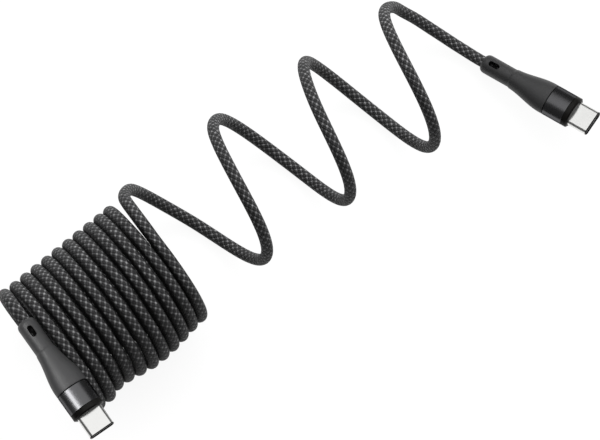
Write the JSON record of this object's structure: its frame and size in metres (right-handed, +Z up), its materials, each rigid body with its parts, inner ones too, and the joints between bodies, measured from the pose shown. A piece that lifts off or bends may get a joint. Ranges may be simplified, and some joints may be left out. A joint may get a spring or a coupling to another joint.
{
  "type": "charging cable",
  "caption": "Braided charging cable wound in a self-holding coil, its last loops drawn out, with a reversible plug at each end.",
  "frame": {"origin": "on the floor, under the middle of the whole cable's box", "axes": "+X along the coil's axis from plug A to plug B, +Z up; plug B points mostly along -Y"},
  "size_m": [0.1844, 0.0746, 0.0477],
  "materials": {
    "braid": "woven black polyester sleeve with light grey tracer yarns in a staggered diamond pattern",
    "boot_plastic": "matte, faintly rough",
    "collar_metal": "polished dark anodised",
    "cap_plastic": "satin, brownish black",
    "shell_steel": "bright, drawn",
    "insulator": "matte black",
    "contact_gold": "thin gold plating",
    "spring_steel": "bright spring sheet",
    "board_laminate": "green solder mask",
    "chip_epoxy": "matte black epoxy",
    "wire_insulation": "smooth, red",
    "inner_mould": "waxy off-white"
  },
  "bodies": {
    "root": {"cord_coil": "braid", "cord_lead_a": "braid", "cord_lead_b": "braid", "plug_a_shell": "shell_steel", "plug_a_contact_housing": "insulator", "plug_a_contacts_upper": "contact_gold", "plug_a_contacts_lower": "contact_gold", "plug_a_latch_plate": "spring_steel", "plug_a_ground_springs": "spring_steel", "plug_a_circuit_board": "board_laminate", "plug_a_marker_chip": "chip_epoxy", "plug_a_wires": "wire_insulation", "plug_a_inner_mould": "inner_mould", "plug_a_front_cap": "cap_plastic", "plug_a_collar": "collar_metal", "plug_a_boot": "boot_plastic", "plug_a_jacket_end": "braid", "plug_b_shell": "shell_steel", "plug_b_contact_housing": "insulator", "plug_b_contacts_upper": "contact_gold", "plug_b_contacts_lower": "contact_gold", "plug_b_latch_plate": "spring_steel", "plug_b_ground_springs": "spring_steel", "plug_b_circuit_board": "board_laminate", "plug_b_marker_chip": "chip_epoxy", "plug_b_wires": "wire_insulation", "plug_b_inner_mould": "inner_mould", "plug_b_front_cap": "cap_plastic", "plug_b_collar": "collar_metal", "plug_b_boot": "boot_plastic", "plug_b_jacket_end": "braid"}
  },
  "joints": []
}
